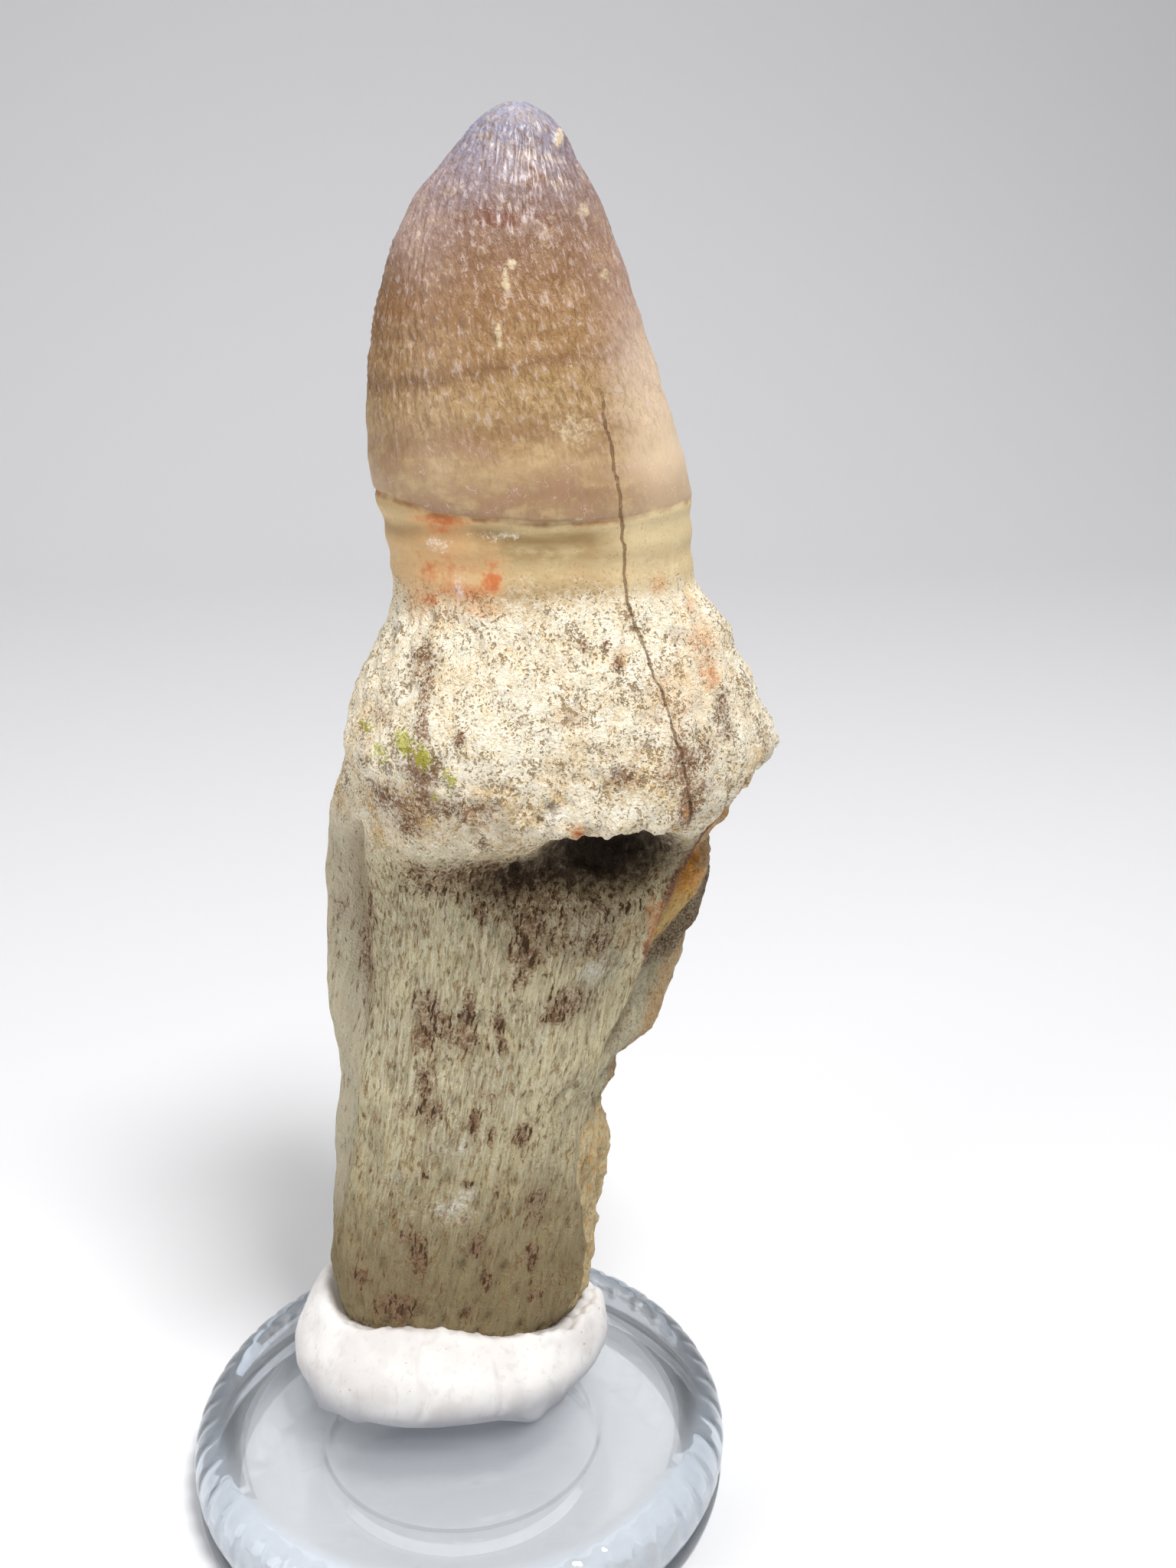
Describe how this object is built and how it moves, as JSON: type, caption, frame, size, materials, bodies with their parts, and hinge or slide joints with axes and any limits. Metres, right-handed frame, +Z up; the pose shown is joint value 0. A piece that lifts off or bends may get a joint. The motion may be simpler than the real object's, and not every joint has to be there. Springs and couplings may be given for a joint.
{
  "type": "fossil mosasaur tooth on a clear stand",
  "caption": "Rooted fossil reptile tooth with a pointed enamel crown and a long broken bone root, held upright in white putty on a clear round stand.",
  "frame": {"origin": "centre of the stand's flat underside", "axes": "+Z up along the tooth, +X to the side where the root's pointed corner sticks out, +Y away from the viewer, towards the tooth's hidden side"},
  "size_m": [0.0496, 0.0458, 0.1106],
  "materials": {
    "fossil": "porous cream bone below, satin grey-brown enamel on the crown",
    "putty": "matte warm white",
    "clear_stand": "clear, polished"
  },
  "bodies": {
    "root": {"tooth": "fossil", "putty": "putty", "stand": "clear_stand"}
  },
  "joints": []
}
